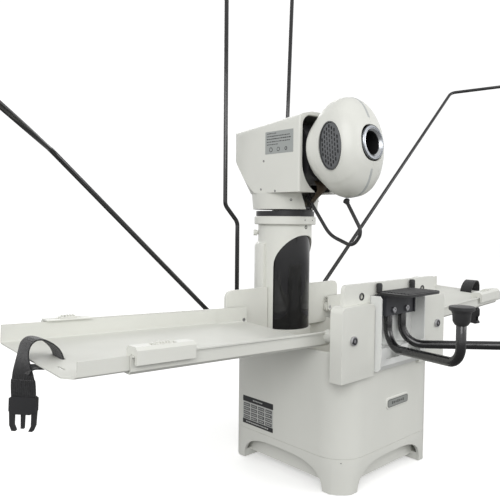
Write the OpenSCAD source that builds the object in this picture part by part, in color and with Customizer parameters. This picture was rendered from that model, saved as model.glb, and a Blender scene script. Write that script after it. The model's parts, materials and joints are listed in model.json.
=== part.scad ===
// Table-tennis ball robot: hopper base, folding trays, table hook, column and throwing head.
// Millimetres. Floor at z = 0, origin under the middle of the square base, front towards -Y.

/* [Base] */
// Outside width and depth of the square base
base_w = 282; // [240:1:320]
// Corner radius of the base in plan
base_r = 54; // [20:1:70]
// Height of the lower skirt
skirt_h = 60; // [54:1:80]
// Height of the rim of the ball hopper
hopper_h = 236; // [200:1:250]
// Half span of each arch at the floor
arch_x = 95; // [80:1:105]
// Height of each arch
arch_h = 47; // [30:1:52]
// Wall thickness of the moulded shells
wall = 4; // [3:0.5:6]

/* [Column] */
// Distance of the column axis behind the middle of the base
col_y = 127; // [110:1:140]
// Outside radius of the column
col_r = 55; // [45:1:60]
// Height of the underside of the collar
collar_z = 441; // [400:1:480]

/* [Trays] */
// Distance of each tray hinge from the middle
pivot_x = 128.3; // [120:0.1:140]
// Height of the tray hinges
pivot_z = 259.6; // [255:0.1:270]
// Upward slope of the unfolded trays, degrees
wing_rise = 2.5; // [0:0.5:8]
// Length of the outer tray beyond its hinge
tray_l = 371; // [300:1:400]
// Distance of the end of the inner tray beyond the hinge
tray_end = 453; // [380:1:600]

/* [Table hook] */
// Half width of the pressed metal channel
hook_x = 68; // [60:1:80]
// Distance of each arm leg from the middle
leg_x = 21.5; // [18:0.5:30]
// Radius of the arm tube
arm_r = 7.2; // [5:0.1:8]
// Sideways splay of the arms, degrees
splay = 23; // [0:1:40]

/* [Head] */
// Distance of the tilt axis behind the middle of the base
tilt_y = 82; // [75:1:90]
// Height of the tilt axis
tilt_z = 573; // [565:1:580]
// Upward tilt of the head as it stands, degrees
tilt_rest = 5.5; // [0:0.5:8]
// Radius of the neck of the head
neck_r = 63; // [58:1:66]
// Radius of the ball passage
ball_r = 21.7; // [20.5:0.1:23]

/* [Poles] */
// Radius of the net poles
pole_r = 4.5; // [3:0.1:6]
// Height of the tops of the two rear poles
pole_top = 960; // [700:10:1200]

/* [Hidden] */
$fn = 64;
ivory = "#e8e6df";
dark = "#26282b";
hb = base_w / 2;
clr = 0.35;

// ---------- helper functions and modules ----------
function arc(cx, cy, r, a0, a1, n) =
  [for (i = [0:n]) [cx + r * cos(a0 + (a1 - a0) * i / n), cy + r * sin(a0 + (a1 - a0) * i / n)]];
function rr_pts(w, d, r, n = 8) =
  concat(arc(w/2 - r, d/2 - r, r, 0, 90, n), arc(r - w/2, d/2 - r, r, 90, 180, n),
         arc(r - w/2, r - d/2, r, 180, 270, n), arc(w/2 - r, r - d/2, r, 270, 360, n));
// rectangle x0..x1, z0..z1 with rounded top corners
function top_pts(x0, x1, z0, z1, r) =
  concat([[x0, z0], [x1, z0]], arc(x1 - r, z1 - r, r, 0, 90, 6), arc(x0 + r, z1 - r, r, 90, 180, 6));
function arch_pts(s, h) =
  concat([[s, -1]], [for (i = [0:16]) let (a = 180 * i / 16)
    [s * sign(cos(a)) * pow(abs(cos(a)), 0.62), h * pow(sin(a), 0.8)]], [[-s, -1]]);
module xz(y0, t) translate([0, y0 + t, 0]) rotate([90, 0, 0]) linear_extrude(t) children();
module yz(x0, t) translate([x0, 0, 0]) rotate([90, 0, 90]) linear_extrude(t) children();
module box(x0, x1, y0, y1, z0, z1) translate([x0, y0, z0]) cube([x1 - x0, y1 - y0, z1 - z0]);
module along_x(x0, x1, r) translate([x0, 0, 0]) rotate([0, 90, 0]) cylinder(r = r, h = x1 - x0);
module along_y(y0, y1, r) translate([0, y1, 0]) rotate([90, 0, 0]) cylinder(r = r, h = y1 - y0);
module side(s) { if (s > 0) children(); else mirror([1, 0, 0]) children(); }
module wing(s) side(s) translate([pivot_x, 0, pivot_z]) rotate([0, -wing_rise, 0]) children();
module head() translate([0, tilt_y, tilt_z]) rotate([-tilt_rest, 0, 0]) children();

// closed solid through a list of rings with equal point counts
module loft(rings) {
  n = len(rings[0]);
  m = len(rings);
  polyhedron(points = [for (r = rings) each r], convexity = 8,
    faces = concat([[for (i = [0:n-1]) i]], [[for (i = [n-1:-1:0]) (m - 1) * n + i]],
      [for (j = [0:m-2]) for (i = [0:n-1]) let (a = j*n + i, b = j*n + (i + 1) % n)
        each [[a, a + n, b], [b, a + n, b + n]]]));
}
function unit(v) = v / norm(v);
// points of a bend of radius r at p1 on the way from p0 to p2
function bend(p0, p1, p2, r, n = 6) =
  let (d = unit(p1 - p0), f = unit(p2 - p1), w = acos(d * f), e = unit(f - d * (d * f)),
       s = p1 - d * r * tan(w / 2), c = s + e * r)
  [for (i = [0:n]) c - e * r * cos(w * i / n) + d * r * sin(w * i / n)];
module tube(path, nrm, r, k = 12) {
  m = len(path);
  loft([for (i = [0:m-1])
    let (t = unit(path[min(i + 1, m - 1)] - path[max(i - 1, 0)]), b = unit(cross(t, nrm)), a = cross(b, t))
    [for (j = [0:k-1]) path[i] + r * cos(360 * j / k) * a + r * sin(360 * j / k) * b]]);
}
// flat ribbon outline of thickness t along a path of x,z points
function side_pts(p, h) = [for (i = [0:len(p)-1])
  let (d = unit(p[min(i + 1, len(p) - 1)] - p[max(i - 1, 0)])) p[i] + h * [-d[1], d[0]]];
function back(l) = [for (i = [len(l)-1:-1:0]) l[i]];
module ribbon(p, t) polygon(concat(side_pts(p, -t/2), back(side_pts(p, t/2))));

// ---------- base and hopper ----------
function draft_pts() = [[5 - hb, 0], [hb - 5, 0], [hb, skirt_h - 10], [hb, skirt_h + 1],
                        [-hb, skirt_h + 1], [-hb, skirt_h - 10]];
module foot_area(z0) intersection() {
  translate([0, 0, z0]) linear_extrude(3 - z0) polygon(rr_pts(base_w - 18, base_w - 18, base_r - 9, 12));
  for (sx = [-1, 1], sy = [-1, 1]) translate([sx * (arch_x + 33), sy * (arch_x + 33), 1])
    cube([48, 48, 8], center = true);
}
module base_skirt() color(ivory) {
  // outer shell cut by the arches
  difference() {
    intersection() {
      translate([0, 0, 0.8]) linear_extrude(skirt_h - 0.8) polygon(rr_pts(base_w, base_w, base_r, 12));
      xz(-base_w, 2 * base_w) polygon(draft_pts());
      yz(-base_w, 2 * base_w) polygon(draft_pts());
    }
    difference() {
      translate([0, 0, -1]) linear_extrude(skirt_h - 2) polygon(rr_pts(base_w - 16, base_w - 16, base_r - 8, 12));
      for (sx = [-1, 1], sy = [-1, 1]) translate([sx * (arch_x + 25), sy * (arch_x + 25), 5])
        cube([50, 50, 20], center = true);
    }
    xz(-base_w, 2 * base_w) polygon(arch_pts(arch_x, arch_h));
    yz(-base_w, 2 * base_w) polygon(arch_pts(arch_x, arch_h));
    foot_area(-1);
    translate([0, 10, 0]) cylinder(r = 6, h = skirt_h + 1);
  }
  // inner tub seen through the arches
  difference() {
    translate([0, 0, 12]) linear_extrude(skirt_h - 13) polygon(rr_pts(base_w - 40, base_w - 40, base_r - 20, 12));
    translate([0, 0, 11]) linear_extrude(skirt_h) polygon(rr_pts(base_w - 46, base_w - 46, base_r - 23, 12));
  }
}
module rubber_feet() color(dark) foot_area(0);
module hopper_shell() color(ivory) difference() {
  union() {
    translate([0, 0, skirt_h]) linear_extrude(hopper_h - skirt_h) polygon(rr_pts(base_w, base_w, base_r, 12));
    translate([0, col_y, skirt_h]) cylinder(r = col_r + 7, h = hopper_h - skirt_h);
    translate([10, 0, 134.5]) xz(-hb - 1.6, 4) polygon(rr_pts(68, 19, 6, 4));
  }
  difference() {
    translate([0, 0, skirt_h - 1]) linear_extrude(hopper_h)
      polygon(rr_pts(base_w - 2 * wall, base_w - 2 * wall, base_r - wall, 12));
    box(-hb, hb, hb - wall, hb, 0, skirt_h + wall);
  }
  translate([0, col_y, skirt_h + wall]) cylinder(r = col_r + 0.3, h = hopper_h);
}
module hopper_floor() color(ivory) difference() {
  translate([0, 0, skirt_h]) linear_extrude(58)
    polygon(rr_pts(base_w - 2 * wall, base_w - 2 * wall, base_r - wall, 12));
  translate([0, 10, 72]) cylinder(r1 = 60, r2 = 186, h = 47);
  translate([0, 10, skirt_h - 1]) cylinder(r = 4.6, h = 30);
  translate([0, col_y, skirt_h + wall]) cylinder(r = col_r + 0.3, h = 80);
  box(-22, 22, 10, col_y, 72, 130);
}
module feed_wheel() color("#d8742a") translate([0, 10, 73]) difference() {
  cylinder(r = 58, h = 30);
  for (a = [45:90:315]) rotate([0, 0, a]) translate([38, 0, -1]) cylinder(r = 22, h = 40);
  for (a = [45:90:315]) rotate([0, 0, a]) translate([52, 0, -1]) cylinder(r = 20, h = 40);
  translate([0, 0, -1]) cylinder(r = 4.05, h = 40);
}
module feed_motor() color("#8a8d92") translate([0, 10, 0]) {
  translate([0, 0, 18]) cylinder(r = 18, h = 22);
  translate([0, 0, 40]) cylinder(r = 23, h = skirt_h - 3 - 40);
  translate([0, 0, 50]) cylinder(r = 4, h = 50);
}

// ---------- column ----------
module lift_tube() color("#c9ccd0") translate([0, col_y, 0]) difference() {
  translate([0, 0, 72]) cylinder(r = ball_r + 2, h = 400);
  translate([0, 0, 71]) cylinder(r = ball_r, h = 402);
  box(-ball_r + 0.5, ball_r - 0.5, -40, 0, 71, 118);
}
// height profile of the window: straight sides, elliptical top
function window_pts(g) = concat([[51.7 + g, 232 - g]],
  [for (i = [0:24]) let (a = 180 * i / 24) [(51.7 + g) * pw(cos(a), 0.88), 357 + (63 + g) * pw(sin(a), 0.88)]],
  [[-51.7 - g, 232 - g]]);
module column_front() color(ivory) difference() {
  translate([0, col_y, 0]) rotate([0, 0, 180]) rotate_extrude(angle = 180)
    polygon([[51.5, 64], [col_r, 64], [col_r, collar_z], [51.5, collar_z]]);
  xz(col_y - 80, 66) polygon(window_pts(0));
  box(-22, 22, col_y - 60, col_y - 30, 60, 122);
}
module column_window() color("#30343a") intersection() {
  translate([0, col_y, 0]) rotate([0, 0, 182]) rotate_extrude(angle = 176)
    polygon([[49.5, 200], [51.5, 200], [51.5, 438], [49.5, 438]]);
  box(-52, 52, col_y - 60, col_y - 6, 226, 428);
}
module column_back() color(ivory) translate([0, col_y, 0]) rotate_extrude(angle = 180)
  polygon([[51.5, 64], [col_r, 64], [col_r, hopper_h + 0.4], [62, hopper_h + 0.4], [62, 396],
           [60, 402], [col_r, 406], [col_r, collar_z], [51.5, collar_z]]);
module column_collar() color(ivory) translate([0, col_y, 0]) rotate_extrude()
  polygon([[24.4, collar_z], [61.5, collar_z], [63, collar_z + 1.5], [63, collar_z + 15],
           [61.5, collar_z + 16.6], [27, collar_z + 16.6], [27, 497], [24.4, 497]]);
module pan_ring() color(dark) translate([0, col_y, 0]) difference() {
  rotate_extrude() polygon([[30, 457.6], [59.5, 457.6], [59.5, 468], [30, 468]]);
  translate([0, 0, 466]) cylinder(r = 52, h = 4);
}
module pan_gear() color("#c7b58a") translate([0, col_y, 480]) difference() {
  union() {
    cylinder(r = 36.4, h = 7);
    for (a = [0:12:348]) rotate([0, 0, a]) linear_extrude(7)
      polygon([[35.5, -2.1], [39.4, -0.9], [39.4, 0.9], [35.5, 2.1]]);
  }
  translate([0, 0, -1]) cylinder(r = 27, h = 10);
}
module pan_pinion() color("#c7b58a") translate([50, col_y, 480]) difference() {
  union() {
    cylinder(r = 8.1, h = 7);
    for (a = [22.5:45:360]) rotate([0, 0, a]) linear_extrude(7)
      polygon([[7, -1.9], [11.4, -0.7], [11.4, 0.7], [7, 1.9]]);
  }
  translate([0, 0, -1]) cylinder(r = 2.55, h = 10);
}
module column_knob() color(ivory) translate([0, col_y, 424]) rotate([0, 0, -43]) difference() {
  union() {
    translate([-64.5, 0, 0]) rotate([0, 90, 0]) cylinder(r = 6, h = 7);
    translate([-58, 0, 0]) rotate([0, 90, 0]) cylinder(r = 4, h = 3);
  }
  box(-66, -63.5, -0.8, 0.8, -5, 5);
}

// ---------- front plates, riser and table hook ----------
module front_plates() color(ivory) for (s = [-1, 1]) side(s) difference() {
  union() {
    difference() {
      xz(-147, 24) polygon(top_pts(hook_x + 1.5, 156.5, 193, 314, 10));
      xz(-143.5, 30) polygon(top_pts(hook_x + 4.5, 153.5, 196, 311, 8));
    }
    box(72, 84, -143.6, -hb, 200, 232);
    translate([pivot_x, 0, pivot_z]) along_y(-144, -124, 11);
  }
  translate([0, 0, 150]) linear_extrude(hopper_h + 0.4 - 150)
    polygon(rr_pts(base_w, base_w, base_r, 12));
  translate([pivot_x, 0, pivot_z]) along_y(-150, -120, 4);
  box(60, 138, -136, -128, 300, 320);
}
module riser_plate() color(ivory) difference() {
  xz(-136, 8) polygon(top_pts(-138, 138, 300, 347, 9));
  box(-hook_x - 1.5, hook_x + 1.5, -140, -120, 290, 326.5);
  for (s = [-1, 1]) translate([s * 93, 0, 326]) along_y(-140, -120, 4);
}
module hook_channel() color("#dcdcd8") {
  box(-hook_x, hook_x, -131, -129, hopper_h, 326);
  box(-hook_x, hook_x, -143, -129, hopper_h, hopper_h + 2);
  box(-hook_x, hook_x, -143, -hb, 200, hopper_h + 2);
  for (s = [-1, 1]) side(s) {
    yz(hook_x - 2, 2) polygon([[-129, hopper_h], [-129, 326], [-154, 326], [-158, 322], [-158, 206],
                               [-152, 200], [-hb, 200], [-hb, hopper_h]]);
  }
  difference() {
    yz(-hook_x, 2 * hook_x) polygon([[-hb, 200], [-150, 200], [-158, 210], [-160.5, 240], [-158.5, 240],
                           [-156, 213], [-149, 203], [-hb, 202]]);
    for (s = [-1, 1]) side(s) box(11, 53, -170, -152, 220, 250);
  }
}
module clamp_bracket() color("#4a4d52") difference() {
  union() {
    box(-45, 45, -149, -131, 290, 325);
    for (s = [-1, 1]) side(s) box(42.5, 45, -152, -131, 290, 325);
    box(-50, 50, -158, -131, 323, 326.5);
  }
  for (s = [-1, 1]) translate([s * leg_x, -140, 270]) cylinder(r = arm_r + 0.45, h = 52);
}
module clamp_screws() color("#9a9da2") for (s = [-1, 1]) translate([s * 20, 0, 299]) {
  difference() {
    along_y(-152.5, -149, 5);
    along_y(-154, -151, 2.2);
  }
}
module table_pad() color(dark) {
  difference() {
    translate([0, -166.5, 326]) linear_extrude(4.6) polygon(rr_pts(110, 61, 12, 6));
    box(-60, 60, -159, -130, 325, 326.5);
  }
  for (i = [0:8]) box(-44, 44, -193 + i * 6.2, -190 + i * 6.2, 330.6, 332);
}
module hook_pegs() color(dark) for (s = [-1, 1]) translate([s * 50.6, -141, 330.6]) {
  cylinder(r = 5, h = 13);
  translate([0, 0, 13]) cylinder(r1 = 5, r2 = 3.6, h = 2.4);
}
leg_z = 233;
arm_run = 183;
arm_up = arm_run * tan(4.5);
arm_path = [[0, 0, 321.4], [0, 0, leg_z], [0, -arm_run, leg_z + arm_up], [0, -arm_run, 308]];
arm_pts = concat([arm_path[0]], bend(arm_path[0], arm_path[1], arm_path[2], 34, 8),
                 bend(arm_path[1], arm_path[2], arm_path[3], 26, 8), [arm_path[3]]);
module arm(s) side(s) translate([leg_x, -140, 0]) rotate([0, 0, splay]) {
  children();
}
module arm_left() color(dark) arm(-1) tube(arm_pts, [1, 0, 0], arm_r, 16);
module arm_right() color(dark) arm(1) tube(arm_pts, [1, 0, 0], arm_r, 16);
module cap() difference() {
  translate([0, -arm_run, 0]) rotate_extrude() polygon([[0, 303], [8.6, 303], [12, 308], [13, 320],
    [17.5, 324.5], [18, 328.5], [17, 330], [0, 330]]);
  translate([0, -arm_run, 300]) cylinder(r = arm_r, h = 8);
}
module arm_left_cap() color("#33363a") arm(-1) cap();
module arm_right_cap() color("#33363a") arm(1) cap();

// ---------- rear plates and tray hinges ----------
module back_plates() color(ivory) for (s = [-1, 1]) side(s) difference() {
  union() {
    xz(119, 6) polygon(concat([[56, 228], [165, 228]], arc(151, 302, 14, 0, 90, 6), [[56, 316]]));
    box(60, 84, 124, hb - wall, 228, hopper_h);
  }
  difference() {
    translate([0, 0, 200]) linear_extrude(hopper_h + 0.3 - 200) polygon(rr_pts(base_w, base_w, base_r, 12));
    translate([0, 0, 190]) linear_extrude(60)
      polygon(rr_pts(base_w - 2 * wall, base_w - 2 * wall, base_r - wall, 12));
  }
  translate([pivot_x, 0, pivot_z]) along_y(100, 130, 4);
}
module wing_bolts() color("#9a9da2") for (s = [-1, 1]) translate([s * pivot_x, 0, pivot_z]) {
  along_y(-151, -92.9, 4);
  difference() {
    along_y(-151, -147, 7.5);
    along_y(-152, -149.5, 3);
  }
  along_y(109.4, 129, 4);
  along_y(125, 129, 7.5);
}

// ---------- folding trays ----------
module tray_section() polygon([[-98, 7.5], [-98, 5.3], [-95, 5.3], [-95, -12.4], [-91, -16.4], [107.5, -6.4],
  [111.5, -2.4], [111.5, 21.8], [114.5, 21.8], [114.5, 24], [109, 24], [109, -1.4], [106.5, -3.9],
  [-90, -13.9], [-92.5, -11.4], [-92.5, 7.5]]);
module tray_outer(s) color(ivory) wing(s) difference() {
  union() {
    yz(-6.3, tray_l + 6.3) tray_section();
    along_y(-120, -94.5, 11);
    along_y(111, 118.4, 11);
  }
  along_y(-130, -90, 4.05);
  along_y(105, 130, 4.05);
}
module left_tray() tray_outer(-1);
module right_tray() tray_outer(1);
module inner_section() polygon([[-91.6, 6.9], [-91.6, -10.9], [-89.5, -13.1], [106, -3.1], [108.1, -0.9],
  [108.1, 23.2], [105.9, 23.2], [105.9, 0.2], [104.6, -1.1], [-88.4, -10.9], [-89.4, -9.9], [-89.4, 6.9]]);
module tray_inner(s) color(ivory) wing(s) difference() {
  yz(72, tray_end - 72) inner_section();
  // cut front corner, sloped near wall end, slots
  translate([tray_end, -92, -30]) rotate([0, 0, 45]) cube([18, 18, 60], center = true);
  translate([tray_end - 14, -100, -8]) cube([20, 14, 30]);
  translate([tray_end - 36, 5, -30]) linear_extrude(60) polygon(rr_pts(6, 34, 2.5, 3));
  translate([tray_end - 16, -45, -30]) linear_extrude(60) polygon(rr_pts(4, 20, 1.8, 3));
}
module left_tray_end() tray_inner(-1);
module right_tray_end() tray_inner(1);
module lock_pair(s) color(ivory) wing(s) {
  difference() {
    translate([323, 0, 0]) yz(-45, 90) polygon([[-103, -4], [-83, -4], [-78, 0], [-78, 14],
      [-82, 18], [-99, 18], [-103, 14]]);
    box(270, 380, -98.1, -92.5, -10, 7.5);
    box(270, 380, -92.6, -88.9, -10, 7.9);
    box(270, 380, -88.95, -70, -10, 2);
    box(303, 343, -96, -85, 15, 20);
  }
  difference() {
    translate([355, 0, 0]) yz(-36, 72) polygon([[101, 24], [114.6, 24], [114.6, 8], [122, 8], [122, 22], [118, 26.5],
      [104, 26.5], [101, 25.5]]);
    box(335, 375, 105, 116, 25.4, 27);
  }
}
module left_locks() lock_pair(-1);
module right_locks() lock_pair(1);
module slider(x, y, z) translate([x, y, z]) {
  translate([-13, -5, 0]) cube([26, 10, 3.2]);
  for (i = [-2:2]) translate([i * 4.4 - 1, -4.4, 3]) cube([2, 8.8, 2.2]);
}
module left_front_slider() color(dark) wing(-1) slider(323, -90.5, 15.4);
module right_front_slider() color(dark) wing(1) slider(323, -90.5, 15.4);
module left_back_slider() color(dark) wing(-1) slider(355, 110.5, 25.5);
module right_back_slider() color(dark) wing(1) slider(355, 110.5, 25.5);
strap_path = [[417, -13], [417.6, -4], [423, 6], [432, 14], [443, 19.5], [453, 19.5], [460, 13], [462.5, 0],
              [462.2, -18], [461, -36], [460, -50.6]];
strap_under = [[416.8, -13], [423, -16.3], [440, -16.6], [455, -15.6], [460.6, -22]];
module strap(s, dz) color(dark) wing(s) {
  xz(-10, 30) ribbon(strap_path, 1.6);
  xz(-10, 30) ribbon(strap_under, 1.6);
}
module left_strap() strap(-1);
module right_strap() strap(1);
module left_buckle() color(dark) wing(-1) translate([459.8, 5, -60.6]) rotate([0, 0, -45]) {
  yz(-4.5, 9) polygon([[-17, 8], [-17, -8], [-10, -12], [10, -12], [17, -8], [17, 8], [14, 10], [-14, 10]]);
  yz(-3, 6) polygon([[-17, -6], [-16, -26], [-13, -33], [-8, -33], [-11, -26], [-11, -10]]);
  yz(-3, 6) polygon([[17, -6], [16, -26], [13, -33], [8, -33], [11, -26], [11, -10]]);
  yz(-2, 4) polygon([[-2.5, -10], [2.5, -10], [2, -30], [-2, -30]]);
}
module right_buckle() color(dark) wing(1) translate([459.8, 5, -60.6]) rotate([0, 0, -20]) difference() {
  yz(-5, 10) polygon([[-14, 10], [14, 10], [18, 5], [18, -8], [16, -14], [16, -24], [18, -30], [12, -33],
                      [-12, -33], [-18, -30], [-16, -24], [-16, -14], [-18, -8], [-18, 5]]);
  yz(-3.2, 6.4) polygon([[-14, -12], [14, -12], [14, -40], [-14, -40]]);
  yz(-6, 12) polygon([[-20, -14], [-13, -14], [-13, -24], [-20, -24]]);
  yz(-6, 12) polygon([[20, -14], [13, -14], [13, -24], [20, -24]]);
}

// ---------- turning housing ----------
// side view, plan and front view outlines with inset g
function house_side(g) = [[28 + g, 503 + g], [28 + g, 654 - g], [36, 657 - g], [204, 640 - g], [214 - g, 634 - g],
  [220 - g, 622 - g], [222 - g, 612], [210 - g, 549], [196 - g, 503 + g]];
function house_plan(g) = concat(arc(64 - g, 32, 4, 270, 360, 5), arc(40 - g, 194 - g, 28, 0, 90, 6),
  arc(-40 + g, 194 - g, 28, 90, 180, 6), arc(-64 + g, 32, 4, 180, 270, 5));
function house_front(g) = concat([[g - 68, 440], [68 - g, 440]], arc(54 - g, 632 - g, 14, 0, 72, 6),
  [[30, 652 - g], [0, 656 - g], [-30, 652 - g]], arc(g - 54, 632 - g, 14, 108, 180, 6));
module house_solid(g) intersection() {
  yz(-80, 160) polygon(house_side(g));
  translate([0, g > 0 ? g - 2 : 0, 440]) linear_extrude(240) polygon(house_plan(g));
  translate([0, 28, 0]) rotate([-5.6, 0, 0]) xz(-140, 400) polygon(house_front(g));
  union() {
    box(-90, 90, 0, col_y, 480, 680);
    translate([0, col_y, 503]) cylinder(r1 = 70.7 - g, r2 = 143 - g, h = 147);
  }
}
function gate_pts(g) = concat(arc(0, 560, 58.6 + g, 180, 360, 18), arc(36.6 + g, 624 + g, 22, 0, 90, 6),
  arc(-36.6 - g, 624 + g, 22, 90, 180, 6));
function lift(l, y) = [for (p = l) [p[0], y, p[1]]];
module housing_half(s) color(ivory) intersection() {
  box(s > 0 ? 0.15 : -100, s > 0 ? 100 : -0.15, 0, 260, 460, 700);
  difference() {
    union() {
      house_solid(0);
      translate([0, col_y, 471.5]) cylinder(r1 = 66, r2 = 69, h = 32);
    }
    difference() {
      house_solid(3);
      for (k = [-1, 1]) translate([0, tilt_y, tilt_z]) along_x(k > 0 ? 52 : -66, k > 0 ? 66 : -52, 13);
    }
    translate([0, col_y, 470]) cylinder(r1 = 63, r2 = 65.5, h = 38);
    loft([lift(gate_pts(0), 40), lift(gate_pts(0), 30), lift(gate_pts(1.6), 27.9), lift(gate_pts(1.6), 20)]);
    translate([0, tilt_y, tilt_z]) along_x(-67, 67, 6.05);
    xz(20, 60) polygon([[-30, 518], [-9, 471], [9, 471], [30, 518]]);
  }
}
module housing_left() housing_half(-1);
module housing_right() housing_half(1);
module turntable() color("#3f4247") translate([0, col_y, 0]) difference() {
  union() {
    translate([0, 0, 472.5]) cylinder(r = 62.9, h = 4);
    translate([50, 0, 476]) cylinder(r = 2.5, h = 12);
  }
  translate([0, 0, 470]) cylinder(r = 27.05, h = 10);
}

// ---------- tilting knuckle ----------
module knuckle() color(dark) head() difference() {
  union() {
    intersection() {
      difference() {
        along_x(-50, 50, 66);
        along_x(-46, 46, 62.5);
      }
      union() {
        box(-60, 60, -59.5, 20, -70, 70);
        for (k = [-1, 1]) side(k) box(44, 60, -59.5, 30, -30, 30);
      }
    }
    along_y(-63.6, -50, 54);
    along_y(-63.6, -18, ball_r + 2.3);
  }
  along_y(-70, 0, ball_r);
  difference() {
    along_y(-52, -18, 60);
    along_y(-60, -10, ball_r + 2.3);
    box(-60, -46, -70, 20, -70, 70);
    box(46, 60, -70, 20, -70, 70);
    difference() {
      box(-60, 60, -70, 20, -70, 70);
      along_x(-46, 46, 62.5);
    }
  }
  along_x(-60, 60, 6);
  box(-45, 45, -30, 40, -80, -30);
  along_y(-66, -40, ball_r);
}
module tilt_pins() color("#9a9da2") head() for (k = [-1, 1]) side(k) along_x(46, 65, 6);

// ---------- throwing head ----------
// half height and half width along the firing axis
function hz(u) = lookup(u, [[64, 60.5], [67, 63], [72, 68], [80, 76], [92, 86], [110, 91.5], [125, 91], [135, 88],
                            [145, 81], [155, 68], [163, 49], [168, 33]]);
function hx(u) = lookup(u, [[64, 60.5], [67, 63], [90, 63], [110, 62.5], [130, 62], [145, 58], [155, 51], [163, 42], [168, 32]]);
function pw(v, p) = sign(v) * pow(abs(v), p);
function shell_ring(u, g, e) = [for (i = [0:39]) let (t = 9 * i)
  [(hx(u) - g) * pw(cos(t), 2 / e), -u, (hz(u) - g) * pw(sin(t), 2 / e)]];
us = [64, 67, 72, 80, 86, 92, 100, 110, 125, 135, 140, 145, 150, 155, 159, 163, 166, 168];
ui = [67, 69, 72, 80, 86, 92, 100, 110, 125, 135, 140, 145, 150, 155, 159, 163, 165];
function expo(u) = u < 70 ? 2 : u < 100 ? 2 + (u - 70) / 100 : 2.3;
// outline of the side vents
function oval_pts(a, b) = [for (i = [0:35]) [a * cos(10 * i) - 120, b * sin(10 * i) - 2]];
module shell_half(s) color(ivory) head() intersection() {
  box(s > 0 ? 0.15 : -80, s > 0 ? 80 : -0.15, -200, 0, -110, 110);
  difference() {
    loft([for (u = us) shell_ring(u, 0, expo(u))]);
    loft([for (u = ui) shell_ring(u, 3, expo(u))]);
    along_y(-70, -50, 52);
    along_y(-180, -150, 30.5);
    for (k = [-1, 1]) side(k) yz(40, 40) polygon(oval_pts(24.4, 43.6));
    translate([0, -101, -100]) cylinder(r = 6.6, h = 30);
  }
}
module head_left() shell_half(-1);
module head_right() shell_half(1);
module nozzle() color("#b9bbbe") head() difference() {
  union() {
    along_y(-171.5, -163, 30.5);
    along_y(-165, -136, ball_r + 2.5);
  }
  along_y(-180, -130, ball_r);
  translate([0, -171.6, 0]) rotate([-90, 0, 0]) cylinder(r1 = 27, r2 = ball_r, h = 5);
  // running clearance for the wheels
  for (k = [-1, 1]) translate([0, -110, k * 52]) along_x(-16, 16, 33);
}
module vents() color("#2f3135") head() for (k = [-1, 1]) side(k) difference() {
  yz(57, 4.6) polygon(oval_pts(24.4, 43.6));
  yz(56, 3.2) polygon(oval_pts(22, 41));
  for (i = [-2:2]) box(50, 70, -122 + i * 7, -118 + i * 7, -30 + abs(i) * 5, 26 - abs(i) * 5);
}
module wheel() difference() {
  rotate([0, 90, 0]) rotate_extrude() polygon([[4.05, -11], [31, -11], [32, -8], [30.6, 0], [32, 8],
    [31, 11], [4.05, 11]]);
  for (a = [0:60:300]) rotate([a, 0, 0]) translate([0, 17, 0]) along_x(-12, 12, 5);
}
module upper_wheel() color("#a33028") head() translate([0, -110, 52]) wheel();
module lower_wheel() color("#a33028") head() translate([0, -110, -52]) wheel();
module launch_motors() color("#8a8d92") head() {
  for (k = [-1, 1]) translate([0, -110, k * 52]) {
    along_x(k > 0 ? -38 : -15, k > 0 ? 15 : 38, 4);
    along_x(k > 0 ? -38 : 14, k > 0 ? -14 : 38, 17);
  }
}

// ---------- cable, poles and their bracket ----------
cable_turns = [[0, 66, 500], [0, 54, 481], [0, 8, 422], [0, -46, 402], [0, -67, 428], [0, -27.5, 490]];
cable_pts = concat([cable_turns[0]], bend(cable_turns[0], cable_turns[1], cable_turns[2], 30, 5),
  bend(cable_turns[1], cable_turns[2], cable_turns[3], 60, 8), bend(cable_turns[2], cable_turns[3], cable_turns[4], 19, 7),
  bend(cable_turns[3], cable_turns[4], cable_turns[5], 19, 7), [cable_turns[5]]);
module cable() color("#1d1e20") tube(cable_pts, [1, 0, 0], 3.4, 10);

rear_path = [[60, 207, 226], [60, 207, 445], [88, 214, 480], [96, 205, pole_top]];
rear_pts = concat([rear_path[0]], bend(rear_path[0], rear_path[1], rear_path[2], 22, 5),
  bend(rear_path[1], rear_path[2], rear_path[3], 22, 5), [rear_path[3]]);
side_slope = 0.013;
side_dir = unit([1, side_slope, 0.907]);
front_dir = unit([1, -1.273, 0.17]);
side_foot = [106, 181, 224];
function side_pole(len1, len2) = let (a = side_foot, b = a + side_dir * len1, c = b + front_dir * len2)
  concat([a], bend(a, b, c, 24, 7), [c]);
module rear_pole(s) color(dark) side(s) tube(rear_pts, [0, 1, 0], pole_r, 12);
module rear_left_pole() rear_pole(-1);
module rear_right_pole() rear_pole(1);
module side_left_pole() color(dark) side(-1) tube(side_pole(496, 240), unit(cross(side_dir, front_dir)), pole_r, 12);
module side_right_pole() color(dark) tube(side_pole(918, 240), unit(cross(side_dir, front_dir)), pole_r, 12);
module pole_bracket() color("#3a3d42") difference() {
  union() {
    translate([0, 0, hopper_h + 0.4]) linear_extrude(12)
      polygon([[-128, 138], [128, 138], [134, 150], [134, 196], [124, 204], [72, 220], [-72, 220], [-124, 204],
               [-134, 196], [-134, 150]]);
    for (s = [-1, 1]) side(s) {
      translate([60, 207, 222]) cylinder(r = 9, h = 40);
      translate(side_foot - 4 * side_dir) rotate([-atan2(side_slope, 0.907), 0, 0]) rotate([0, 47.8, 0]) cylinder(r = 9, h = 50);
    }
  }
  translate([0, col_y, 200]) cylinder(r = 62, h = 100);
  box(-150, 150, 100, 145, 200, hopper_h + 0.2);
  for (s = [-1, 1]) side(s) {
    translate([60, 207, 225]) cylinder(r = pole_r + clr, h = 60);
    translate(side_foot - 1 * side_dir) rotate([-atan2(side_slope, 0.907), 0, 0]) rotate([0, 47.8, 0])
      cylinder(r = pole_r + 0.5, h = 80);
  }
}

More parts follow.
